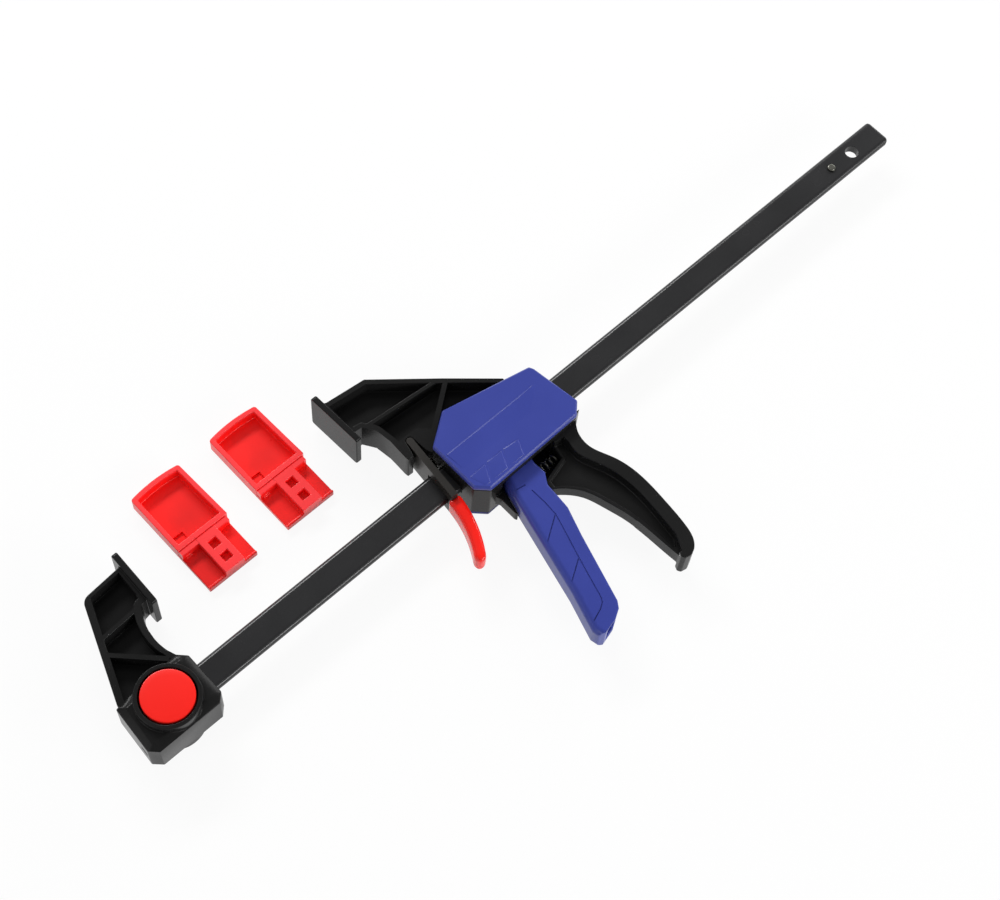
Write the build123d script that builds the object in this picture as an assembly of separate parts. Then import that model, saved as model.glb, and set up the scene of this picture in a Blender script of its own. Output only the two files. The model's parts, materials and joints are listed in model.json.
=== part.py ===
from build123d import *
import os
from math import cos, radians, sin, tan

# Quick release bar clamp. X runs along the bar, Y from the bar to the jaw tips and Z up.
# The origin is on the resting plane, under the axis of the fixed jaw's latch.

# Bar
bar_length = 476.0
bar_height = 15.0
bar_thick = 5.0
bar_tail = 16.0             # part of the bar behind the latch axis
bar_edge = 1.2              # rounding of the long edges
bar_corner = 2.5
hang_hole_r = 3.4
hang_hole_inset = 20.3      # from the free end
stop_pin_r = 2.0
stop_pin_inset = 35.7       # from the free end
stop_pin_proud = 1.2
rest_height = 15.0          # from the resting plane to the middle of the bar
slide_gap = 0.2             # round the bar, on each side, in both jaws

# Jaws
jaw_gap = 115.0             # between the plates, half way up them
jaw_half = 9.0              # half the thickness of arms and housing
plate_half = 12.0
plate_thick = 3.0
plate_low = 38.5            # height of the plates over the bar's middle
plate_top = 68.7
fixed_toe = 0.0271          # lean of each face, run over rise
movable_toe = -0.0421
fixed_flange = 3.4          # rims of the ribbed arms
fixed_top_flange = 1.8
movable_flange = 2.6
rib = 2.0
web_half = 1.2
draft_gap = 0.3             # between curved or slanted faces that move past each other

# Fixed jaw
fixed_face_x = 23.75        # where the fixed jaw's face meets the bar's middle line
housing_left = -20.3
housing_right = 19.2
housing_low = -15.6
housing_high = 14.4
cap_rise = 2.0
cap_inset = 3.5
collar_r = 15.0

# Latch
button_r = 12.1
button_top = 15.9           # over the bar's middle
button_skirt = 4.5
button_wall = 1.5
button_gap = 0.8
well_floor = 6.8
latch_travel = 3.6
land_r = 4.0
stem_r = 3.0
neck_r = 2.5
running_gap = 0.08          # of a pin in its hole
latch_hole_gap = 0.1
clip_thick = 0.6
clip_r = 5.6
clip_seat = -6.4
pocket_r = 6.6
cap_r = 8.0
cap_thick = 1.0
spring_wire = 0.8
latch_spring_r = 5.4

# Head
head_half = 12.0            # half the thickness of the black box
handle_half = 8.5
handle_web_half = 2.0
handle_lip_half = 4.0
handle_lip = 2.0
handle_flange = 6.5
cover_chamfer = 1.0
cover_corner = 1.5
plate_corner = 1.6

# Outlines of the head, from the trigger's pivot along X and the bar's middle line along Y
box_outline = [(-33.9, 12.9), (-33.8, -14.6), (-28.1, -20.3), (27.2, -19.1), (32.9, -13.6),
               (29.2, 12.0), (28.0, 14.3), (-17.9, 24.0)]
handle_top = [(-3.6, -31.0), (11.0, -27.0), (12.0, -20.0), (14.5, -15.0), (32.6, -15.8)]
handle_back = [(32.6, -15.8), (23.8, -24.8), (23.0, -32.0), (27.3, -43.7), (30.4, -60.6),
               (29.6, -77.0), (28.1, -90.4), (25.6, -98.2), (22.6, -101.4)]
handle_hook = [(22.6, -101.4), (19.5, -102.7), (16.4, -102.0), (15.4, -100.2), (16.6, -97.7)]
handle_front = [(16.6, -97.7), (15.8, -87.9), (13.5, -66.7), (10.7, -56.6), (7.1, -46.6),
                (0.1, -38.4), (-3.6, -35.6)]
recess_top = [(-1.2, -32.4), (11.8, -28.8), (14.0, -21.0)]
hook_start = (17.9, -98.2)
spring_wall = [(-4.0, -18.0), (-4.0, -31.0), (8.0, -31.0), (14.0, -26.0), (15.0, -14.0)]
trigger_stop = [(-24.5, -18.0), (-22.8, -22.5), (-22.7, -32.0), (-21.9, -33.2), (-20.1, -25.9),
                (-18.1, -18.0)]
stop_top = -1.0             # over the bar's middle; the stop stands on the far side only
trigger_left = [(-9.5, -2.0), (-16.2, -14.6), (-19.8, -26.1), (-27.2, -56.4), (-32.9, -79.2),
                (-38.9, -98.6), (-38.2, -102.0), (-35.4, -103.4)]
trigger_right = [(-27.4, -101.5), (-23.0, -99.0), (-20.8, -95.9), (-10.7, -62.5), (-5.8, -48.3),
                 (-5.4, -43.6), (-4.8, -33.7), (-1.3, -28.3), (-1.8, -22.3)]

# Trigger and drive
pin_height = 14.2           # trigger pivot over the bar's middle
trigger_pin_r = 2.0
eye_r = 4.2
trigger_half = 8.0
trigger_wall = 2.0
trigger_front = 2.8
trigger_round = 3.5         # of the front's long edges
nose_r = 3.0
nose_height = -1.5
drive_plate_thick = 2.0
drive_plate_low = -12.0
drive_plate_high = 11.2
drive_spring_r = 9.6
drive_spring_wire = 1.3
drive_travel = 4.8
bay_half = 8.4
spring_bay_end = 27.6

# Brake lever
lever_thick = 3.4
lever_lean = 5.3            # degrees, at rest
lever_pivot = (-37.6, 24.1)
lever_bend = -9.5
lever_finger_half = 4.0
lever_tip = (-51.2, -38.6)
sleeve_half = 5.4
sleeve_start = 2.8
sleeve_end = 2.3
brake_spring_r = 2.6
brake_spring_height = 11.2

# Screws
screw_r = 1.3
screw_head_r = 2.5
screw_head = 1.3
screw_spots = [(-27.5, -13.5), (-14.0, 17.5), (17.5, 13.2), (25.5, -13.8)]
cover_boss = 5.0
boss_r = 2.4

# Pads
pad_width = 27.8
pad_length = 56.6
pad_bulge = 1.3             # of the far end
pad_height = 8.0
pad_floor = 1.8
pad_wall = 2.4
pad_corner = 1.5
cup_length = 34.0
cup_right = 15.0            # the cup's wide end reaches further to one side
pad_low = 35.5
pad_spots = {"fixed_jaw_pad": 63.5, "movable_jaw_pad": 109.5}
tongue_thick = 2.8
tongue_rim = 1.0
tongue_rim_wide = 1.2
block_width = 11.0
block_shift = 1.3
hole_side = 4.6
hole_depth = 4.0
hole_spots = (6.6, 15.0)
nub_side = 3.6
nub_height = 1.6

# Worked out from the above
bar_end = bar_length - bar_tail
plate_middle = (plate_low + plate_top) / 2
head_plate_offset = -55.6   # movable face to trigger pivot, at the bar's middle line
head_x = (fixed_face_x + fixed_toe * plate_middle + jaw_gap
          - head_plate_offset - movable_toe * plate_middle)
cover_half = rest_height
drive_front = nose_r + draft_gap
drive_back = drive_front + 2 * drive_plate_thick + 0.3


def slab(face, low, high):
    """Solid over a face, between two heights over the bar's middle."""
    return Pos(0, 0, rest_height + low) * extrude(face, amount=high - low, dir=(0, 0, 1))


def both_sides(face, low, high):
    return slab(face, low, high) + slab(face, -high, -low)


def polygon(points, shift=0.0):
    return make_face(Polyline(*[(x + shift, y) for x, y in points], close=True))


def post(spot, radius, low, high):
    """Round post standing along Z."""
    middle = rest_height + (low + high) / 2
    return Pos(spot[0], spot[1], middle) * Cylinder(radius, high - low)


def rail(center_y, radius, start, end):
    """Round bar lying along X at the bar's middle height."""
    turned = Rot(0, 90, 0) * Cylinder(radius, end - start)
    return Pos((start + end) / 2, center_y, rest_height) * turned


def strip(start, end, thick):
    """Face of a straight rib between two points."""
    a, b = Vector(*start), Vector(*end)
    middle = (a + b) / 2
    angle = (b - a).get_angle(Vector(1, 0))
    if b.Y < a.Y:
        angle = -angle
    return Pos(middle.X, middle.Y) * Rot(0, 0, angle) * Rectangle((b - a).length, thick)


def round_corner(face, spot, radius):
    return fillet(face.vertices().sort_by_distance(Vector(*spot))[0], radius)


def coil(radius, wire, length, turns):
    """Compression spring along Z from the origin, its ends inside the length."""
    path = Helix(pitch=(length - wire) / turns, height=length - wire, radius=radius - wire / 2)
    section = Plane(origin=path @ 0, z_dir=path % 0) * Circle(wire / 2)
    return Pos(0, 0, wire / 2) * sweep(section, path=path)


def bar_channel(start, end):
    """Room for the bar between two places along X."""
    box = Box(end - start, bar_height + 2 * slide_gap, bar_thick + 2 * slide_gap)
    return Pos((start + end) / 2, 0, rest_height) * box


def bar():
    body = Box(bar_length, bar_height, bar_thick)
    ends = body.edges().filter_by(Axis.Z).sort_by(Axis.X)[-2:]
    body = fillet(ends, bar_corner)
    body = fillet(body.edges().filter_by(Axis.X), bar_edge)
    body = Pos(bar_end - bar_length / 2, 0, rest_height) * body
    body -= post((0, 0), land_r + latch_hole_gap, -bar_thick, bar_thick)
    slot = Box(bar_tail * 2, 2 * (neck_r + slide_gap), 2 * bar_thick)
    body -= Pos(-bar_tail, 0, rest_height) * slot
    body -= post((bar_end - hang_hole_inset, 0), hang_hole_r, -bar_thick, bar_thick)
    body -= post((bar_end - stop_pin_inset, 0), stop_pin_r, -bar_thick, bar_thick)
    return body


def bar_stop_pin():
    half = bar_thick / 2 + stop_pin_proud
    pin = post((bar_end - stop_pin_inset, 0), stop_pin_r, -half, half)
    return chamfer(pin.edges().filter_by(GeomType.CIRCLE), 0.3)


def rounded_plate(face):
    """Jaw plate over its face, its four corners rounded."""
    plate = slab(face, -plate_half, plate_half)
    corners = [e for e in plate.edges() if e.length < plate_thick * 1.1]
    return fillet(corners, plate_corner)


def fixed_plate():
    """Face of the fixed jaw's plate, facing the work."""
    low = fixed_face_x + fixed_toe * plate_low
    top = fixed_face_x + fixed_toe * plate_top
    return polygon([(low, plate_low), (top, plate_top), (top - plate_thick, plate_top),
                    (low - plate_thick, plate_low)])


def fixed_jaw():
    housing = polygon([
        (housing_left + 0.9, housing_high - 2.5), (housing_left - 0.8, housing_low + 3.7),
        (housing_left + 3.0, housing_low), (housing_right - 3.9, housing_low),
        (housing_right, housing_low + 3.8), (housing_right, housing_high - 4.1),
        (housing_right - 4.1, housing_high),
    ])
    tip_x = fixed_face_x + fixed_toe * plate_top - plate_thick
    low_x = fixed_face_x + fixed_toe * plate_low - plate_thick
    throat_low = (housing_right - 4.0, housing_high)
    throat_high = (low_x - 3.3, plate_low + 3.8)
    shoulder = (housing_left + 2.4, housing_high - 1.3)
    corner = (1.0, plate_top - 7.4)
    edge = Polyline(throat_high, (low_x + 1, plate_low + 4.6), (tip_x + 1, plate_top - 5.5),
                    corner, shoulder, (shoulder[0], 0), (throat_low[0], 0), throat_low)
    throat = ThreePointArc(throat_low, (throat_low[0] - 2.1, housing_high + 8.8), throat_high)
    arm = round_corner(make_face(edge + throat), corner, 5.0)

    jaw = slab(housing, -jaw_half, jaw_half) + slab(arm, -jaw_half, jaw_half)
    jaw += rounded_plate(fixed_plate())
    inner = offset(arm, -fixed_flange)
    rise = (Vector(*corner) - Vector(*shoulder)).normalized() * (fixed_flange - fixed_top_flange)
    inner += Pos(rise.X, rise.Y) * inner
    inner -= housing
    inner -= strip((-6.0, plate_low + 2.6), (tip_x, plate_low + 4.2), rib)
    inner -= strip((-10.0, 37.3), (12.0, 14.6), rib + 0.4)
    jaw -= both_sides(inner, web_half, jaw_half + 1)

    cap_low = Plane.XY * housing
    cap_high = Pos(0, 0, cap_rise) * offset(housing, -cap_inset)
    cap = loft([cap_low.face(), cap_high.face()])
    jaw += Pos(0, 0, rest_height + jaw_half) * cap
    jaw += Pos(0, 0, rest_height - jaw_half) * mirror(cap, about=Plane.XY)
    jaw += post((0, 0), collar_r, 0, rest_height)
    jaw += post((0, 0), collar_r, -rest_height, 0)

    jaw -= bar_channel(-bar_tail - draft_gap, 2 * housing_right)
    jaw -= Pos(housing_left, housing_low / 2, rest_height) * Box(10, 4.0, 2.0)
    jaw -= post((0, 0), button_r + button_gap, well_floor, 2 * rest_height)
    jaw -= post((0, 0), stem_r + running_gap, 0, well_floor + 1)
    jaw -= post((0, 0), land_r + running_gap, -rest_height, 0)
    jaw -= post((0, 0), pocket_r, -rest_height, clip_seat)
    jaw -= post((0, 0), cap_r, -rest_height - 1, cap_thick - rest_height)
    return jaw


def latch_button():
    knob = post((0, 0), button_r, button_top - button_skirt, button_top)
    knob = chamfer(knob.edges().filter_by(GeomType.CIRCLE).sort_by(Axis.Z)[-1], 0.6)
    knob -= post((0, 0), button_r - button_wall, 0, button_top - button_wall)
    knob += post((0, 0), stem_r + 1.4, button_top - button_skirt + 0.6, button_top - button_wall)
    knob -= post((0, 0), stem_r, 0, button_top - button_wall)
    return knob


def latch_pin():
    tail = cap_thick - rest_height + latch_travel + 0.4
    pin = post((0, 0), land_r, tail, 1.0)
    pin += post((0, 0), neck_r, 0.5, well_floor + 2.4)
    pin += post((0, 0), stem_r, well_floor + 2.2, button_top - button_wall)
    groove = post((0, 0), land_r + 1, clip_seat - clip_thick - 0.05, clip_seat - 0.05)
    groove -= post((0, 0), land_r - 0.7, -rest_height, 0)
    return pin - groove


def latch_clip():
    clip = post((0, 0), clip_r, clip_seat - clip_thick - 0.05, clip_seat - 0.05)
    clip -= post((0, 0), land_r - 0.7, -rest_height, 0)
    return clip - Pos(0, -clip_r, rest_height) * Box(land_r, 2 * clip_r, 2 * rest_height)


def latch_spring():
    length = button_top - button_wall - well_floor - 0.1
    return Pos(0, 0, rest_height + well_floor + 0.05) * coil(latch_spring_r, spring_wire, length, 4)


def latch_cap():
    return post((0, 0), cap_r, -rest_height, cap_thick - rest_height)


def cover_outline():
    """Outline of the head's box and of its two covers."""
    face = fillet(polygon(box_outline, head_x).vertices(), cover_corner)
    return face


def movable_plate():
    face_x = head_x + head_plate_offset
    low = face_x + movable_toe * plate_low
    top = face_x + movable_toe * (plate_top + 1.1)
    return polygon([(low, plate_low + 0.5), (top, plate_top + 1.1),
                    (top + plate_thick, plate_top + 1.1), (low + plate_thick, plate_low + 0.5)])


def handle():
    """Rear handle, a T-shaped beam that ends in a hook."""
    edge = Polyline(*handle_top) + Spline(*handle_back) + Polyline(*handle_hook)
    edge += Spline(*handle_front) + Line(handle_front[-1], handle_top[0])
    return Pos(head_x, 0) * make_face(edge)


def handle_recess(shift, top, end):
    """Sunken side of the handle, from its front edge moved along X to the outer flange."""
    back = [(x - handle_flange, y) for x, y in handle_back[1:7]]
    front = [(x + shift, y) for x, y in handle_front[1:]]
    low = Polyline(back[-1], end, (front[0][0], end[1]), front[0])
    side = Polyline(front[-1], *top, (back[0][0], recess_top[-1][1]), back[0])
    return Pos(head_x, 0) * make_face(Spline(*back) + low + Spline(*front) + side)


def trigger_bay():
    """Room inside the head for the trigger and the drive plates."""
    top = pin_height + eye_r + draft_gap
    side = eye_r + 1.5
    face = polygon([(-side, top), (side, top), (side, drive_plate_high + 0.4),
                    (drive_back + drive_travel, drive_plate_high + 0.4),
                    (drive_back + drive_travel, drive_plate_low - 0.4), (11.2, drive_plate_low - 0.4),
                    (11.2, -25.0), (-22.5, -25.0), (-17.5, -13.0), (-10.5, 0.0)], head_x)
    return slab(face, -bay_half, bay_half)


def lever_slot():
    """Seat and slot of the brake lever, open over the whole thickness."""
    x, y = lever_pivot
    half = lever_thick / 2 + draft_gap
    lean = tan(radians(lever_lean))
    depth = 14.0
    face = polygon([(x - half, y), (x + half, y), (x + half + 1.0, y - depth),
                    (x - half - depth * lean - 2.2, y - depth)], head_x)
    seat = post((head_x + x, y), half, -rest_height, rest_height)
    return slab(face, -rest_height, rest_height) + seat


def movable_jaw():
    x, y = lever_pivot
    face_x = head_plate_offset + movable_toe * plate_top + plate_thick
    box = cover_outline()
    arm = polygon([
        (face_x - 1, plate_top - 3.4), (-53.5, plate_top - 4.0), (-32.3, plate_top - 6.4),
        (-4.5, plate_low + 0.2), (17.0, 19.7), (17.0, 5.0), (-33.3, 5.0), (-33.3, 12.3),
        (-35.8, 16.9), (-44.6, 17.3), (-44.8, 19.3), (-44.5, 29.5), (-45.7, plate_low - 0.4),
        (-49.6, plate_low + 5.5), (face_x - 1, plate_low + 6.0),
    ], head_x)
    jaw = slab(arm, -jaw_half, jaw_half) + rounded_plate(movable_plate())
    inner = offset(arm, -movable_flange)
    inner -= box
    inner -= polygon([(-47.0, 12.0), (-47.0, 20.0), (x - 4.0, y + 3.2), (x + 6.0, y + 3.2),
                      (-26.0, 22.5), (-26.0, 12.0)], head_x)
    inner -= Pos(head_x, 0) * strip((-54.0, 43.8), (0.0, 38.9), rib)
    inner -= Pos(head_x, 0) * strip((0.0, 39.4), (-28.0, 19.2), rib + 0.5)
    jaw -= both_sides(inner, web_half, jaw_half + 1)

    jaw += slab(box, -head_half, head_half)
    jaw += slab(handle(), -handle_half, handle_half)
    above_lip = handle_recess(-handle_flange, [(-handle_flange, recess_top[-1][1])], hook_start)
    lip_end = (hook_start[0] + handle_lip / 2, hook_start[1] + 2 * handle_lip)
    beside_lip = handle_recess(handle_lip, recess_top, lip_end)
    jaw -= both_sides(above_lip, handle_lip_half, rest_height)
    jaw -= both_sides(beside_lip, handle_web_half, rest_height)

    jaw -= trigger_bay()
    jaw += slab(polygon(spring_wall, head_x), -head_half, -bay_half)
    jaw += slab(polygon(trigger_stop, head_x), -bay_half, stop_top)
    spring_start = drive_back - draft_gap
    spring_room = polygon([(spring_start, 10.2), (spring_start, -10.2), (spring_bay_end, -10.2),
                           (spring_bay_end, 10.2)], head_x)
    jaw -= slab(spring_room, -rest_height, rest_height)
    jaw -= bar_channel(head_x - 60, head_x + 60)
    jaw -= lever_slot()
    jaw -= rail(brake_spring_height, brake_spring_r + draft_gap, head_x - 40, head_x - 27)
    jaw -= post((head_x, pin_height), trigger_pin_r, -rest_height, rest_height)
    for u, v in screw_spots:
        jaw -= post((head_x + u, v), screw_r + 0.2, -rest_height, rest_height)
        jaw -= post((head_x + u, v), boss_r + 0.1, head_half - cover_boss, rest_height)
    return jaw


def side_cover(side):
    cover = slab(cover_outline(), head_half, cover_half)
    cover = chamfer(cover.faces().sort_by(Axis.Z)[-1].edges(), cover_chamfer)
    if side < 0:
        cover = mirror(cover, about=Plane.XY.offset(rest_height))
        for u, v in screw_spots:
            low = -cover_half - 1
            cover -= post((head_x + u, v), screw_head_r + 0.2, low, low + 1.3 + screw_head)
            cover -= post((head_x + u, v), screw_r + 0.2, -rest_height, 0)
        return cover
    for u, v in screw_spots:
        cover += post((head_x + u, v), boss_r, head_half - cover_boss + 0.1, head_half + 0.5)
        cover -= post((head_x + u, v), screw_r, 0, head_half + 0.8)
    return cover


def cover_screws():
    screws = []
    for u, v in screw_spots:
        seat = -cover_half + 0.3
        head = post((head_x + u, v), screw_head_r, seat, seat + screw_head)
        head -= post((head_x + u, v), 1.0, seat - 1, seat + 0.6)
        screws.append(head + post((head_x + u, v), screw_r, seat + 1, head_half + 0.4))
    return Compound(children=screws)


def trigger_face():
    right = trigger_right + [(-0.4, drive_plate_low), (nose_r - 0.9, nose_height - nose_r),
                             (1.5, nose_height + 2 * nose_r), (1.5, pin_height - trigger_pin_r)]
    face = polygon([(-eye_r, pin_height)] + trigger_left + right, head_x)
    face += Pos(head_x, pin_height) * Circle(eye_r)
    face += Pos(head_x, nose_height) * Circle(nose_r)
    return face


def beside(edge, start, end):
    """Whether an edge runs along the line between two points, seen along Z."""
    line = Vector(*end) - Vector(*start)
    gap = edge.center() - Vector(head_x + start[0], start[1], edge.center().Z)
    return abs(line.cross(gap).Z) < 0.05 * line.length and 0 < line.dot(gap) < line.dot(line)


def trigger():
    body = slab(trigger_face(), -trigger_half, trigger_half)
    fronts = list(zip(trigger_left[1:6], trigger_left[2:7]))
    rims = [e for e in body.edges() if abs(abs(e.center().Z - rest_height) - trigger_half) < 0.01]
    rims = [e for e in rims if any(beside(e, start, end) for start, end in fronts)]
    body = fillet(rims, trigger_round)
    left = [(x + trigger_front, y) for x, y in trigger_left[1:5]]
    low = trigger_left[5][1] + trigger_front
    end = trigger_left[-1][1] - trigger_front
    hollow = polygon(left + [(left[-1][0] - trigger_front, low), (left[-1][0] - trigger_front, end),
                             (trigger_right[3][0], end),
                             (-trigger_left[0][0], trigger_right[3][1]),
                             (-trigger_left[0][0], left[0][1])], head_x)
    body -= slab(hollow, trigger_wall - trigger_half, trigger_half - trigger_wall)
    reach = bar_height / 2 + 3.0
    fork = polygon([(-2 * pin_height, -reach), (2 * pin_height, -reach),
                    (2 * pin_height, 2 * pin_height), (-2 * pin_height, 2 * pin_height)], head_x)
    fork_half = bar_thick / 2 + 2 * draft_gap
    body -= slab(fork, -fork_half, fork_half)
    return body - post((head_x, pin_height), trigger_pin_r + running_gap, -rest_height, rest_height)


def trigger_pin():
    return post((head_x, pin_height), trigger_pin_r, -head_half, head_half)


def drive_plate(front):
    plate = Box(drive_plate_thick, drive_plate_high - drive_plate_low, 2 * trigger_half)
    middle = (drive_plate_high + drive_plate_low) / 2
    plate = Pos(head_x + front + drive_plate_thick / 2, middle, rest_height) * plate
    return plate - bar_channel(head_x - 60, head_x + 60)


def spring_along(start, end, height, radius, wire, turns):
    """Compression spring lying along X."""
    return Pos(start, height, rest_height) * Rot(0, 90, 0) * coil(radius, wire, end - start, turns)


def brake_lever():
    x, y = lever_pivot
    lean = radians(lever_lean)
    plate = Rot(0, 0, -lever_lean) * Pos(0, (lever_bend - y) / 2) * Rectangle(
        lever_thick, (y - lever_bend) / cos(lean) + 1)
    top = Circle(lever_thick / 2)
    body = slab(Pos(head_x + x, y) * (plate + top), -jaw_half, jaw_half)
    finger_half = lever_thick / 2 - 0.1
    body += slab(lever_finger(finger_half, finger_half), -lever_finger_half, lever_finger_half)
    window = Box(4 * lever_thick, bar_height + 2 * slide_gap + lever_thick * sin(lean),
                 bar_thick + 2 * slide_gap)
    center = (head_x + x - y * tan(lean), 0, rest_height)
    return body - Pos(*center) * Rot(0, 0, -lever_lean) * window


def lever_finger(half_start, half_end):
    """Curved finger from the lever's bend to its tip, seen along Z."""
    x, y = lever_pivot
    lean = radians(lever_lean)
    start = Vector(x + (lever_bend - y) * tan(lean), lever_bend)
    path = TangentArc(start, lever_tip, tangent=(-sin(lean), -cos(lean)))
    sides = []
    for sign in (1, -1):
        points = []
        for share in (0, 0.5, 1):
            across = (path % share).rotate(Axis.Z, 90) * sign
            half = half_start + (half_end - half_start) * share
            points.append(path @ share + across * half)
        sides.append(points)
    outer = ThreePointArc(*sides[0])
    inner = ThreePointArc(*sides[1])
    face = make_face(outer + inner + Line(sides[0][0], sides[1][0]) + Line(sides[0][2], sides[1][2]))
    return Pos(head_x, 0) * face


def lever_sleeve():
    finger = slab(lever_finger(sleeve_start, sleeve_end), -sleeve_half, sleeve_half)
    tip = post((head_x + lever_tip[0], lever_tip[1]), sleeve_end, -sleeve_half, sleeve_half)
    return finger + tip - brake_lever()


def pad(center):
    """Slip-on pad lying on its face: an open cup for the plate and a tongue behind it."""
    low = pad_length - cup_length
    left = -pad_width / 2
    edge = Polyline((-left, pad_length), (cup_right, low), (left, low), (left, pad_length))
    edge += ThreePointArc((left, pad_length), (0, pad_length + pad_bulge), (-left, pad_length))
    cup_face = fillet(make_face(edge).vertices().group_by(Axis.Y)[-1], pad_corner)
    cup = extrude(cup_face, amount=pad_height)
    cup -= Pos(0, 0, pad_floor) * extrude(offset(cup_face, -pad_wall), amount=pad_height)

    tongue_face = Pos(0, low / 2) * Rectangle(pad_width, low)
    tongue = extrude(tongue_face, amount=tongue_thick)
    rim = Pos(0, tongue_rim_wide / 2) * Rectangle(pad_width, tongue_rim_wide)
    tongue += extrude(rim, amount=tongue_thick + tongue_rim)
    block = Pos(block_shift, low / 2) * Rectangle(block_width, low)
    tongue += extrude(block, amount=pad_height)
    nub = Pos(left + nub_side, low - nub_side / 2) * Rectangle(nub_side, nub_side)
    tongue += extrude(nub, amount=tongue_thick + nub_height)
    for place in hole_spots:
        hole = Box(hole_side, hole_side, 2 * hole_depth)
        tongue -= Pos(block_shift, place, pad_height) * hole
    return Pos(center, pad_low) * (cup + tongue)


parts = {
    "bar": bar(),
    "bar_stop_pin": bar_stop_pin(),
    "fixed_jaw": fixed_jaw(),
    "latch_button": latch_button(),
    "latch_pin": latch_pin(),
    "latch_clip": latch_clip(),
    "latch_spring": latch_spring(),
    "latch_cap": latch_cap(),
    "movable_jaw": movable_jaw(),
    "front_side_cover": side_cover(1),
    "back_side_cover": side_cover(-1),
    "cover_screws": cover_screws(),
    "trigger": trigger(),
    "trigger_pin": trigger_pin(),
    "drive_plate_front": drive_plate(drive_front),
    "drive_plate_rear": drive_plate(drive_front + drive_plate_thick + 0.1),
    "drive_spring": spring_along(head_x + drive_back, head_x + spring_bay_end, 0, drive_spring_r,
                                 drive_spring_wire, 5),
    "trigger_spring": spring_along(head_x - 14.6, head_x + 10.8, -24.0, 2.6, spring_wire, 9),
    "brake_lever": brake_lever(),
    "lever_sleeve": lever_sleeve(),
    "brake_spring": spring_along(head_x - 36.6, head_x - 27.1, brake_spring_height, brake_spring_r,
                                 spring_wire, 5),
}
for name, center in pad_spots.items():
    parts[name] = pad(center)

os.makedirs("parts", exist_ok=True)
for name, shape in parts.items():
    export_step(shape, f"parts/{name}.step")
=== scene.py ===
import json
from math import cos, radians, sin

import bmesh
import bpy
from mathutils import Matrix, Vector
from mathutils.kdtree import KDTree

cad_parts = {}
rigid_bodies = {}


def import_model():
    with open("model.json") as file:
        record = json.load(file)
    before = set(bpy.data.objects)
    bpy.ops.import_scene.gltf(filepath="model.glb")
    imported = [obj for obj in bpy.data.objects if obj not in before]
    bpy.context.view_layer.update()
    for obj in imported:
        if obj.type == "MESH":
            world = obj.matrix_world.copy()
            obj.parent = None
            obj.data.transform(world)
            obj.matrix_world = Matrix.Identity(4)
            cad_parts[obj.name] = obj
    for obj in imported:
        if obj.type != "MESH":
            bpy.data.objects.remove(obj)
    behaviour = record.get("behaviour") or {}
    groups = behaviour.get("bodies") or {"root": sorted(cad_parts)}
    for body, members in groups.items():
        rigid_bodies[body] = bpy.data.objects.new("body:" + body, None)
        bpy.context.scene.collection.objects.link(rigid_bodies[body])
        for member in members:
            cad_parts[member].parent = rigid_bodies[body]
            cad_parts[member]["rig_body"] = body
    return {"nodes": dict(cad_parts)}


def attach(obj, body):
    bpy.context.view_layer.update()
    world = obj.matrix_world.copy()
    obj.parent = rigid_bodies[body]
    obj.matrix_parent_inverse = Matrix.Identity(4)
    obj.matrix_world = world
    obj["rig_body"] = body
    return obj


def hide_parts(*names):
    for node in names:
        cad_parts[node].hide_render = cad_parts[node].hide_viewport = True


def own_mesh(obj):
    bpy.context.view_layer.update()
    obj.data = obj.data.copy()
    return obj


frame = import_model()
mm = 0.001
pivotX = 198.059   # the trigger's pivot along X, in mm
barMiddle = 15.0   # height of the bar's middle, in mm


def keepSize():
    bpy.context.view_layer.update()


keepSize()
print("solids loaded")


# A shader socket that adds Math nodes as it is written in an expression
class Wire:
    def __init__(self, tree, socket=None):
        self.tree = tree
        self.socket = socket

    # Settings go first, then the inputs, each a value or a wire
    def make(self, kind, settings, inputs, output=0):
        node = self.tree.nodes.new(kind)
        for name, value in settings.items():
            setattr(node, name, value)
        for key, value in inputs.items():
            if isinstance(value, Wire):
                self.tree.links.new(value.socket, node.inputs[key])
            else:
                node.inputs[key].default_value = value
        return Wire(self.tree, node.outputs[output])

    def math(self, operation, first, second, clamp=False):
        return self.make("ShaderNodeMath", {"operation": operation, "use_clamp": clamp},
                         {0: first, 1: second})

    # 0, 6 and 7 are the share and the two colours of a Mix node set to colours
    def mixColours(self, share, first, second):
        return self.make("ShaderNodeMix", {"data_type": "RGBA"},
                         {0: share, 6: first, 7: second}, 2)

    def feed(self, node, name):
        self.tree.links.new(self.socket, node.inputs[name])

    def __add__(self, other): return self.math("ADD", self, other)
    def __radd__(self, other): return self.math("ADD", other, self)
    def __sub__(self, other): return self.math("SUBTRACT", self, other)
    def __rsub__(self, other): return self.math("SUBTRACT", other, self)
    def __mul__(self, other): return self.math("MULTIPLY", self, other)
    def __rmul__(self, other): return self.math("MULTIPLY", other, self)


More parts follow.
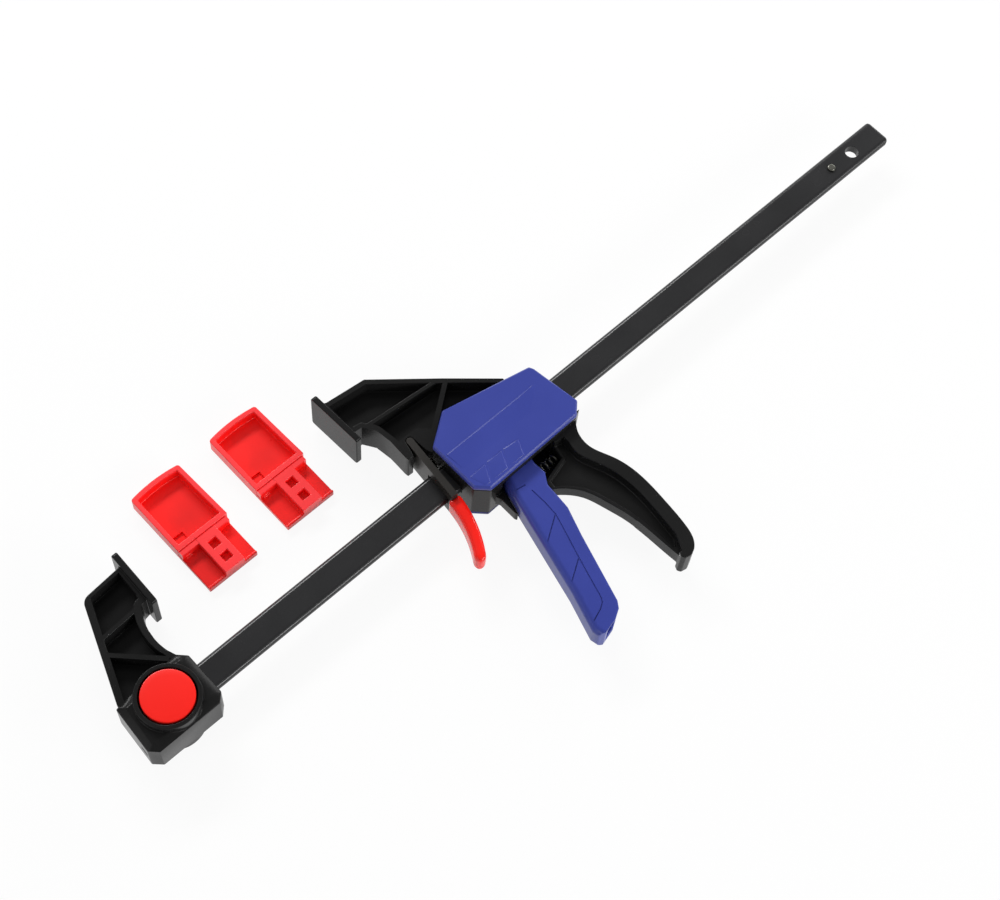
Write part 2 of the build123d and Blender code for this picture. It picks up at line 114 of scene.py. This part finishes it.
# cloud is how far the colour drifts either way, grain the skin's depth in metres
finishes = {
    "barPaint": {"slot": "bar_black", "colour": (0.019, 0.019, 0.020), "cloud": 0.25,
                 "roughness": 0.26, "specular": 0.35, "metallic": 0.0,
                 "grain": 0.00001, "grainScale": 1400.0},
    "jawPlastic": {"slot": "jaw_black", "colour": (0.013, 0.013, 0.013), "cloud": 0.3,
                   "roughness": 0.25, "specular": 0.11, "metallic": 0.0,
                   "grain": 0.000012, "grainScale": 1700.0},
    "bluePlastic": {"slot": "blue", "colour": (0.037, 0.054, 0.305), "cloud": 0.12,
                    "roughness": 0.32, "specular": 0.30, "metallic": 0.0,
                    "grain": 0.00001, "grainScale": 2200.0},
    "redPlastic": {"slot": "red", "colour": (0.98, 0.016, 0.010), "cloud": 0.05,
                   "roughness": 0.32, "specular": 0.32, "metallic": 0.0,
                   "grain": 0.00001, "grainScale": 2200.0},
    # the pads' upper rims are painted paler than their floors: a painted sheen for the light
    # that the rims catch
    "padPlastic": {"slot": "red", "colour": (0.98, 0.012, 0.010), "cloud": 0.08,
                   "roughness": 0.30, "specular": 0.36, "metallic": 0.0,
                   "grain": 0.00002, "grainScale": 1100.0,
                   "rim": (1.0, 0.045, 0.050), "rimFrom": 0.0058, "rimOver": 0.0018},
    "redSleeve": {"slot": "red_sleeve", "colour": (0.92, 0.012, 0.006), "cloud": 0.08,
                  "roughness": 0.22, "specular": 0.4, "metallic": 0.0,
                  "grain": 0.00001, "grainScale": 1200.0},
    "leverSteel": {"slot": "steel", "colour": (0.022, 0.020, 0.018), "cloud": 0.35,
                   "roughness": 0.38, "specular": 0.25, "metallic": 0.0,
                   "grain": 0.00002, "grainScale": 2600.0},
    "steel": {"slot": "steel", "colour": (0.36, 0.36, 0.35), "cloud": 0.2,
              "roughness": 0.36, "specular": 0.5, "metallic": 1.0,
              "grain": 0.00001, "grainScale": 3000.0},
    "springSteel": {"slot": "spring_steel", "colour": (0.16, 0.16, 0.14), "cloud": 0.3,
                    "roughness": 0.32, "specular": 0.5, "metallic": 1.0,
                    "grain": 0.00001, "grainScale": 3000.0},
}
# What all finishes share: a slow drift of colour and gloss, and a fine grain
surface = {"driftScale": 45.0, "detail": 2.0, "grainRoughness": 0.6, "driftShare": 0.6,
           "glossSpread": 0.1}


def newMaterial(name, look):
    material = bpy.data.materials.new(name)
    material.use_nodes = True
    shader = material.node_tree.nodes["Principled BSDF"]
    shader.inputs["Metallic"].default_value = look["metallic"]
    shader.inputs["Specular IOR Level"].default_value = look["specular"]
    start = Wire(material.node_tree)
    place = start.make("ShaderNodeTexCoord", {}, {}, "Object")
    drift = start.make("ShaderNodeTexNoise", {}, {"Vector": place, "Detail": surface["detail"],
                                                  "Scale": surface["driftScale"]})
    grain = start.make("ShaderNodeTexNoise", {}, {"Vector": place, "Detail": surface["detail"],
                                                  "Scale": look["grainScale"],
                                                  "Roughness": surface["grainRoughness"]})
    light = tuple(min(1.0, c * (1 + look["cloud"])) for c in look["colour"]) + (1.0,)
    dark = tuple(c * (1 - look["cloud"]) for c in look["colour"]) + (1.0,)
    share = surface["driftShare"]
    colour = start.mixColours(drift * share + grain * (1 - share), dark, light)
    # painted sheen: above a height the colour is mixed towards the paler rim colour
    if "rim" in look:
        height = start.make("ShaderNodeSeparateXYZ", {}, {"Vector": place}, "Z")
        over = start.math("MULTIPLY", height - look["rimFrom"], 1 / look["rimOver"], clamp=True)
        colour = start.mixColours(over, colour, look["rim"] + (1.0,))
    colour.feed(shader, "Base Color")
    spread = surface["glossSpread"]
    (look["roughness"] - spread / 2 + drift * spread).feed(shader, "Roughness")
    bump = start.make("ShaderNodeBump", {}, {"Height": grain, "Strength": 1.0,
                                             "Distance": look["grain"]})
    bump.feed(shader, "Normal")
    return material


materials = {name: newMaterial(name, look) for name, look in finishes.items()}
print("materials made")

# weld in metres; flat and sharp, the angles where faces merge and shading breaks, in degrees
meshing = {"weld": 2e-6, "flat": 0.6, "sharp": 38.0}
# A fold is a triangle of some area, in square metres, that turns from its face's normal. The
# edges within so many bevel widths of it are left out of the next try
folding = {"area": 3e-9, "agreement": 0.3, "reach": 2.2, "tries": 8}


def copyNode(node):
    work = bmesh.new()
    work.from_mesh(frame["nodes"][node].data)
    bmesh.ops.remove_doubles(work, verts=work.verts, dist=meshing["weld"])
    return work


def flatCopy(node):
    work = copyNode(node)
    bmesh.ops.dissolve_limit(work, angle_limit=radians(meshing["flat"]), verts=work.verts,
                             edges=work.edges)
    return work


# The corners of the triangles that a bevel has folded over
def foldedCorners(work):
    work.normal_update()
    spots = []
    for loops in work.calc_loop_triangles():
        a, b, c = (loop.vert.co for loop in loops)
        turn = (b - a).cross(c - a)
        agreement = turn.normalized().dot(loops[0].face.normal)
        if turn.length > 2 * folding["area"] and agreement < folding["agreement"]:
            spots += [a.copy(), b.copy(), c.copy()]
    return spots


# A look with a half takes only the rims, that far from the bar's middle, of walls that face
# along -X below a given Y
def isChosen(e, look):
    if "half" not in look:
        return True
    middle = (e.verts[0].co + e.verts[1].co) / 2
    return (middle.y < look["below"] * mm
            and abs(middle.z / mm - barMiddle) > look["half"] - look["slack"]
            and min(face.normal.x for face in e.link_faces) < look["facing"])


# Round the sharp edges, and leave those sharp whose rounding would fold
def softenEdges(work, look):
    leftOut = set()
    reach = folding["reach"] * look["width"] * mm
    for attempt in range(folding["tries"]):
        trial = work.copy()
        trial.edges.index_update()
        sharp = [e for e in trial.edges if len(e.link_faces) == 2 and e.index not in leftOut
                 and e.calc_face_angle() > radians(look["angle"]) and isChosen(e, look)]
        ends = KDTree(2 * len(sharp))
        for e in sharp:
            for v in e.verts:
                ends.insert(v.co, e.index)
        ends.balance()
        bmesh.ops.bevel(trial, geom=sharp, offset=look["width"] * mm, offset_type="OFFSET",
                        affect="EDGES", segments=look["segments"], profile=0.5, material=-1,
                        clamp_overlap=False)
        spots = foldedCorners(trial)
        if not spots:
            work.free()
            return trial
        for spot in spots:
            leftOut.update(index for co, index, far in ends.find_range(spot, reach))
        trial.free()
    print("edges left sharp")
    return work


def markSharp(work):
    for e in work.edges:
        e.smooth = (len(e.link_faces) == 2
                    and e.calc_face_angle() < radians(meshing["sharp"]))


def evenNormals(piece):
    piece.modifiers.new("normals", "WEIGHTED_NORMAL").keep_sharp = True


def newObject(name, work):
    mesh = bpy.data.meshes.new(name)
    work.to_mesh(mesh)
    work.free()
    piece = bpy.data.objects.new(name, mesh)
    bpy.context.scene.collection.objects.link(piece)
    return piece


def addPiece(name, work, finish, body, node=None):
    for face in work.faces:
        face.smooth = True
    markSharp(work)
    piece = newObject(name, work)
    piece.data.materials.append(materials[finish])
    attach(piece, body)
    if node:
        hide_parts(node)
    return piece


def bodyOf(node):
    return frame["nodes"][node]["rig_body"]


# Moulded and painted pieces: each is its solid with rounded edges, widths in mm
edges = {
    "bar": ("barPaint", {"width": 0.25, "segments": 2, "angle": 40}),
    "bar_stop_pin": ("springSteel", {"width": 0.3, "segments": 2, "angle": 40}),
    "fixed_jaw": ("jawPlastic", {"width": 0.5, "segments": 3, "angle": 28}),
    "latch_cap": ("jawPlastic", {"width": 0.2, "segments": 2, "angle": 40}),
    "movable_jaw": ("jawPlastic", {"width": 0.5, "segments": 3, "angle": 28}),
    "front_side_cover": ("bluePlastic", {"width": 0.6, "segments": 3, "angle": 28}),
    "back_side_cover": ("bluePlastic", {"width": 0.6, "segments": 3, "angle": 28}),
    "trigger": ("bluePlastic", {"width": 0.8, "segments": 3, "angle": 28}),
    "brake_lever": ("leverSteel", {"width": 0.3, "segments": 2, "angle": 35}),
    "fixed_jaw_pad": ("padPlastic", {"width": 0.4, "segments": 3, "angle": 28}),
    "movable_jaw_pad": ("padPlastic", {"width": 0.4, "segments": 3, "angle": 28}),
    "cover_screws": ("steel", {"width": 0.15, "segments": 2, "angle": 40}),
}
# The trigger's front is rounded to the finger first
fronts = {"trigger": {"width": 5.0, "segments": 6, "angle": 60, "below": -30.0, "half": 8.0,
                      "slack": 0.05, "facing": -0.6}}


def addFinished(node):
    finish, look = edges[node]
    work = flatCopy(node)
    if node in fronts:
        work = softenEdges(work, fronts[node])
    work = softenEdges(work, look)
    piece = addPiece(node + "_finished", work, finish, bodyOf(node), node)
    evenNormals(piece)
    return piece


finished = {node: addFinished(node) for node in edges}
print("mouldings finished")

# What shows little keeps its solid
plain = {"latch_pin": "steel", "trigger_pin": "steel", "drive_plate_front": "steel",
         "drive_plate_rear": "steel", "latch_clip": "springSteel"}
for node, finish in plain.items():
    mesh = frame["nodes"][node].data
    mesh.materials.clear()
    mesh.materials.append(materials[finish])

# Each coil with its joint, its axis, its seat in metres and its kept share; only the names are
# read, and each coil is copied as it stands
springs = {
    "latch_spring": {"joint": "latch_press", "axis": (0, 0, 1), "seat": (0, 0, 0.02185),
                     "keep": 0.5},
    "drive_spring": {"joint": "drive_plates_push", "axis": (1, 0, 0), "seat": (0.22566, 0, 0),
                     "keep": 0.77},
    "trigger_spring": {"joint": "trigger_squeeze", "axis": (1, 0, 0), "seat": (0.20886, 0, 0),
                       "keep": 0.53},
    "brake_spring": {"joint": "brake_release", "axis": (1, 0, 0), "seat": (0.17096, 0, 0),
                     "keep": 0.86},
}


def addSpring(node):
    piece = addPiece(node + "_coil", copyNode(node), "springSteel", bodyOf(node), node)
    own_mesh(piece)


for node in springs:
    addSpring(node)
print("springs made")

# A dipped sleeve: its solid remeshed fine, smoothed until it is round and swollen back
sleeve = {"voxel": 0.35, "softness": 0.5, "smoothing": 120, "swell": 0.6}


def addSleeve():
    piece = addPiece("lever_sleeve_dipped", flatCopy("lever_sleeve"), "redSleeve",
                     bodyOf("lever_sleeve"), "lever_sleeve")
    fine = piece.modifiers.new("fine", "REMESH")
    fine.mode = "VOXEL"
    fine.voxel_size = sleeve["voxel"] * mm
    fine.use_smooth_shade = True
    soft = piece.modifiers.new("soft", "SMOOTH")
    soft.factor = sleeve["softness"]
    soft.iterations = sleeve["smoothing"]
    swell = piece.modifiers.new("swell", "DISPLACE")
    swell.mid_level = 0.0
    swell.strength = sleeve["swell"] * mm


addSleeve()
print("sleeve made")

# The cap is crowned: falls are shares of the radius, with the share of the crown lost there
button = {"radius": 12.1, "top": 30.9, "skirt": 4.5, "wall": 1.5, "crown": 0.35, "edge": 0.6,
          "corner": 0.3, "falls": [(0.4, 0.12), (0.75, 0.5)], "boss": 4.4, "stem": 3.0,
          "steps": 96}


def addButton():
    look = button
    r, top, crown, edge = look["radius"], look["top"], look["crown"], look["edge"]
    low, inside, bore = top - look["skirt"], top - look["wall"], r - look["wall"]
    shoulder, cut = top - crown, edge * look["corner"]
    profile = [(0, top)] + [(r * out, top - crown * fall) for out, fall in look["falls"]]
    profile += [(r - edge, shoulder), (r - cut, shoulder - cut), (r, shoulder - edge), (r, low),
                (bore, low), (bore, inside), (look["boss"], inside), (look["boss"], low + edge),
                (look["stem"], low + edge), (look["stem"], inside), (0, inside)]
    work = bmesh.new()
    points = [work.verts.new((x * mm, 0, z * mm)) for x, z in profile]
    rim = [work.edges.new(pair) for pair in zip(points, points[1:])]
    bmesh.ops.spin(work, geom=points + rim, cent=(0, 0, 0), axis=(0, 0, 1), angle=radians(360),
                   steps=look["steps"], use_merge=True)
    bmesh.ops.remove_doubles(work, verts=work.verts, dist=1e-6)
    bmesh.ops.recalc_face_normals(work, faces=work.faces)
    evenNormals(addPiece("latch_button_cap", work, "redPlastic", "latch", "latch_button"))


addButton()
print("button made")

# Low relief of the front cover, from the trigger's pivot along X and the bar along Y. Each
# form is the hull of its corners, and each corner is given with its height over the cover
relief = {"top": 30.0, "sink": 0.2, "edge": {"width": 0.06, "segments": 1, "angle": 12},
          "forms": [[(-31.9, 5.9, 0.0), (-31.7, 5.15, 0.32), (14.0, 5.15, 0.32),
                     (23.6, 5.15, 0.02), (22.0, 5.9, 0.0), (-31.0, -5.0, 0.0),
                     (12.0, -4.0, 0.0)],
                    [(-31.6, -9.7, 0.0), (-31.2, -10.4, 0.16), (-22.6, -9.9, 0.34),
                     (-22.0, -9.5, 0.0), (-26.0, -18.0, 0.0), (-26.6, -17.6, 0.34),
                     (-29.0, -17.6, 0.0)],
                    [(-20.6, -9.2, 0.0), (-20.2, -9.9, 0.16), (-12.3, -9.9, 0.34),
                     (-11.7, -9.5, 0.0), (-15.4, -18.0, 0.0), (-16.0, -17.6, 0.34),
                     (-24.6, -17.6, 0.0)],
                    [(-10.6, -9.2, 0.0), (-10.2, -9.9, 0.16), (-2.6, -10.6, 0.34),
                     (-2.0, -10.2, 0.0), (-5.2, -18.0, 0.0), (-5.8, -17.6, 0.34),
                     (-14.4, -17.6, 0.0)]]}


def addRelief():
    work = bmesh.new()
    low = (relief["top"] - relief["sink"]) * mm
    for corners in relief["forms"]:
        points = []
        for x, y, height in corners:
            across = ((pivotX + x) * mm, y * mm)
            points.append(work.verts.new((*across, low)))
            points.append(work.verts.new((*across, (relief["top"] + height) * mm)))
        hull = bmesh.ops.convex_hull(work, input=points)
        spare = [g for g in hull["geom_interior"] if isinstance(g, bmesh.types.BMVert)]
        bmesh.ops.delete(work, geom=spare, context="VERTS")
    bmesh.ops.recalc_face_normals(work, faces=work.faces)
    work = softenEdges(work, relief["edge"])
    evenNormals(addPiece("front_cover_relief", work, "bluePlastic", "head"))


addRelief()
print("cover relief made")


# Add tool shapes to a piece or take them away, and leave its mesh finished
def shapeWith(piece, tools, operation):
    piece.modifiers.clear()
    helpers = []
    for work in tools:
        bmesh.ops.recalc_face_normals(work, faces=work.faces)
        helper = newObject("tool", work)
        cut = piece.modifiers.new("cut", "BOOLEAN")
        cut.operation = operation
        cut.solver = "EXACT"
        cut.object = helper
        helpers.append(helper)
    evaluated = piece.evaluated_get(bpy.context.evaluated_depsgraph_get())
    work = bmesh.new()
    work.from_mesh(evaluated.to_mesh())
    evaluated.to_mesh_clear()
    piece.modifiers.clear()
    for helper in helpers:
        mesh = helper.data
        bpy.data.objects.remove(helper)
        bpy.data.meshes.remove(mesh)
    bmesh.ops.remove_doubles(work, verts=work.verts, dist=1e-6)
    markSharp(work)
    work.to_mesh(piece.data)
    work.free()
    evenNormals(piece)


def boxTool(low, high):
    work = bmesh.new()
    size = [(b - a) * mm for a, b in zip(low, high)]
    middle = Vector([(a + b) / 2 for a, b in zip(low, high)]) * mm
    bmesh.ops.create_cube(work, size=1.0,
                          matrix=Matrix.Translation(middle) @ Matrix.Diagonal((*size, 1)))
    return work


# Lines cut into both sides of the trigger, from its pivot along X and the bar along Y
grooves = {"half": 8.0, "depth": 0.45, "width": 0.55, "reach": 2.0,
           "lines": [[(-23.5, -27.2), (-21.0, -26.1), (-18.4, -25.8), (-12.6, -27.0)],
                     [(-12.1, -31.0), (-11.9, -39.4), (-12.3, -47.2), (-14.2, -53.6),
                      (-19.2, -69.4), (-23.6, -84.4), (-25.2, -90.0), (-26.4, -92.2),
                      (-29.2, -94.0), (-35.6, -96.2)],
                     [(-12.1, -47.0), (-25.5, -55.4)],
                     [(-19.4, -69.8), (-29.0, -75.6), (-33.5, -78.6)]]}


def grooveCutter(line, side):
    look = grooves
    work = bmesh.new()
    height = (barMiddle + side * (look["half"] - look["depth"])) * mm
    points = [work.verts.new(((pivotX + x) * mm, y * mm, height)) for x, y in line]
    path = [work.edges.new(pair) for pair in zip(points, points[1:])]
    wall = bmesh.ops.extrude_edge_only(work, edges=path)
    raised = [v for v in wall["geom"] if isinstance(v, bmesh.types.BMVert)]
    bmesh.ops.translate(work, verts=raised, vec=(0, 0, side * look["reach"] * mm))
    bmesh.ops.solidify(work, geom=work.faces[:], thickness=look["width"] * mm)
    return work


shapeWith(finished["trigger"], [grooveCutter(line, side) for line in grooves["lines"]
                                for side in (1, -1)], "DIFFERENCE")
print("trigger grooves cut")

# The bar's long edges are rolled round. The form that cuts them reaches past both ends
bar = {"length": 476.0, "tail": 16.0, "height": 15.0, "thick": 5.0, "roll": 2.4, "steps": 9,
       "past": 1.0}


def rolledBar():
    across, up = bar["height"] / 2, bar["thick"] / 2
    work = boxTool((-bar["tail"] - bar["past"], -across, barMiddle - up),
                   (bar["length"] - bar["tail"] + bar["past"], across, barMiddle + up))
    lengthwise = [e for e in work.edges if e.calc_length() > bar["length"] * mm]
    bmesh.ops.bevel(work, geom=lengthwise, offset=bar["roll"] * mm, offset_type="OFFSET",
                    affect="EDGES", segments=bar["steps"], profile=0.5, material=-1,
                    clamp_overlap=True)
    return work


shapeWith(finished["bar"], [rolledBar()], "INTERSECT")
print("bar rolled")

# What the pads have inside, from each pad's middle along X and its low end along Y: a second
# ridge in front of the cup's wall, the groove between the two and a pocket in the floor
padInside = {"middles": {"fixed_jaw_pad": 63.5, "movable_jaw_pad": 109.5}, "lowEnd": 35.5,
             "ridge": ((-13.7, 19.4, 0.6), (13.7, 23.4, 7.8)),
             "groove": ((-16.0, 21.6, 7.2), (16.0, 22.3, 9.0)),
             "pocket": ((-11.3, 25.1, 0.6), (-4.9, 31.4, 3.0))}


def padTool(node, name):
    shift = Vector((padInside["middles"][node], padInside["lowEnd"], 0.0))
    low, high = padInside[name]
    return boxTool(Vector(low) + shift, Vector(high) + shift)


for node in padInside["middles"]:
    shapeWith(finished[node], [padTool(node, "ridge")], "UNION")
    shapeWith(finished[node], [padTool(node, "groove"), padTool(node, "pocket")], "DIFFERENCE")
print("pads finished")

# Lengths in metres. shade is how far the floor shows as plain white to the eye and in
# reflections, and what is left of it takes the object's shadow
studio = {"floorRadius": 6.0, "floorMiddle": (0.2, 0.0, -0.0002), "wallHeight": 3.0,
          "floorSteps": 128, "floorColour": 0.88, "shade": 0.92, "world": 0.28,
          "aim": (0.19, 0.0, 0.0),
          # place, width, height, and power in watts
          "lamps": {"far": ((0.55, 1.35, 1.15), 1.3, 0.32, 24.0),
                    "near": ((0.62, -1.35, 0.56), 1.3, 0.30, 15.0),
                    "left": ((-1.3, 0.1, 0.7), 0.8, 0.5, 3.5),
                    "right": ((1.45, 0.35, 0.60), 0.7, 0.35, 5.0)}}


def addFloor():
    work = bmesh.new()
    bmesh.ops.create_circle(work, cap_ends=True, segments=studio["floorSteps"],
                            radius=studio["floorRadius"])
    rim = bmesh.ops.extrude_edge_only(work, edges=work.edges[:])
    lifted = [v for v in rim["geom"] if isinstance(v, bmesh.types.BMVert)]
    bmesh.ops.translate(work, verts=lifted, vec=(0, 0, studio["wallHeight"]))
    bmesh.ops.translate(work, verts=work.verts, vec=studio["floorMiddle"])
    floor = newObject("floor", work)
    material = bpy.data.materials.new("floor")
    material.use_nodes = True
    tree = material.node_tree
    tree.nodes.clear()
    start = Wire(tree)
    camera, glossy, through = (start.make("ShaderNodeLightPath", {}, {}, name) for name in
                               ("Is Camera Ray", "Is Glossy Ray", "Is Transmission Ray"))
    seen = start.math("ADD", camera + glossy, through, clamp=True)
    grey = studio["floorColour"]
    matt = start.make("ShaderNodeBsdfDiffuse", {}, {"Color": (grey, grey, grey, 1.0)})
    glow = start.make("ShaderNodeEmission", {}, {"Color": (1.0, 1.0, 1.0, 1.0),
                                                 "Strength": 1.0})
    mixed = start.make("ShaderNodeMixShader", {}, {0: seen * studio["shade"], 1: matt, 2: glow})
    mixed.feed(tree.nodes.new("ShaderNodeOutputMaterial"), "Surface")
    floor.data.materials.append(material)


def addLamp(name, place, width, height, power):
    data = bpy.data.lights.new(name, "AREA")
    data.shape = "RECTANGLE"
    data.size = width
    data.size_y = height
    data.energy = power
    lamp = bpy.data.objects.new(name, data)
    lamp.location = place
    aim = Vector(studio["aim"]) - Vector(place)
    lamp.rotation_euler = aim.to_track_quat("-Z", "Y").to_euler()
    bpy.context.scene.collection.objects.link(lamp)


def addWorld():
    world = bpy.data.worlds.new("world")
    world.use_nodes = True
    background = world.node_tree.nodes["Background"]
    background.inputs["Color"].default_value = (1.0, 1.0, 1.0, 1.0)
    background.inputs["Strength"].default_value = studio["world"]
    bpy.context.scene.world = world


addFloor()
for name, values in studio["lamps"].items():
    addLamp(name, *values)
addWorld()

# The camera looks along forward at the target. roll is in degrees, lens and sensor in mm
view = {"forward": (0.3354, 0.2898, -0.8964), "target": (0.19168, -0.00395, 0.0150),
        "distance": 0.9149, "roll": 6.863, "lens": 70.71, "sensor": 36.0, "near": 0.01}


def addCamera():
    data = bpy.data.cameras.new("camera")
    data.lens = view["lens"]
    data.sensor_width = view["sensor"]
    data.clip_start = view["near"]
    camera = bpy.data.objects.new("camera", data)
    bpy.context.scene.collection.objects.link(camera)
    forward = Vector(view["forward"]).normalized()
    flat = forward.cross(Vector((0, 0, 1))).normalized()
    steep = flat.cross(forward)
    turn = radians(view["roll"])
    right = flat * cos(turn) + steep * sin(turn)
    up = steep * cos(turn) - flat * sin(turn)
    camera.matrix_world = Matrix((right, up, -forward)).transposed().to_4x4()
    camera.location = Vector(view["target"]) - forward * view["distance"]
    bpy.context.scene.camera = camera


addCamera()
bpy.context.scene.view_settings.view_transform = "Standard"
print("floor, light and camera set")
keepSize()
